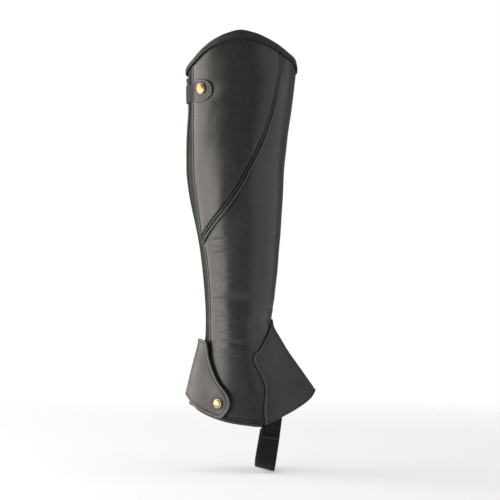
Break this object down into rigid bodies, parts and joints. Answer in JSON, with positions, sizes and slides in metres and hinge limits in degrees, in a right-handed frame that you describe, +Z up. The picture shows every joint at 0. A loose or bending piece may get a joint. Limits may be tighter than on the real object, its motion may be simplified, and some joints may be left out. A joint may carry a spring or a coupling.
{
  "type": "half chap",
  "caption": "Smooth dark leather half chap for the right leg in its worn form: lapped calf and shin panels, pointed instep, elastic rear strip, zip, snap tab, heel flap and underfoot strap.",
  "frame": {"origin": "on the axis of the leg at the fullest part of the calf, where the half chap is held on the wearer", "axes": "+Z up the leg, +X toward the toes, -Y toward the outer side of the leg, which the picture shows"},
  "size_m": [0.1387, 0.1184, 0.464],
  "materials": {
    "leather": "smooth grain leather, very dark warm grey, soft sheen",
    "binding": "thin matt binding with a worn, slightly streaked edge",
    "elastic": "ribbed elastic, faint grey-green",
    "webbing": "flat woven tape, matt black",
    "zip_teeth": "nylon coil",
    "zip_metal": "dark lacquered metal",
    "snap": "polished, lightly worn"
  },
  "bodies": {
    "chap": {"panel_calf": "leather", "panel_shin": "leather", "panel_inner": "leather", "instep": "leather", "heel_flap": "leather", "tab_end": "leather", "top_trim": "binding", "hem_binding_outer": "binding", "hem_binding_inner": "binding", "stretch_strip": "elastic", "tab_band": "elastic", "zip_tape_outer": "webbing", "zip_tape_inner": "webbing", "strap_tab_outer": "webbing", "strap_tab_inner": "webbing", "strap_loop": "webbing", "zip_chain": "zip_teeth", "zip_slider": "zip_metal", "snap_top": "snap", "snap_heel": "snap"},
    "zip_pull": {"zip_pull": "zip_metal"}
  },
  "joints": [
    {"name": "pull_hinge", "type": "hinge", "parent": "chap", "child": "zip_pull", "pos_m": [-0.05561, 0.0193, 0.03254], "axis": [0.319, 0.9477, 0.0004], "range_deg": [0, 150]}
  ]
}
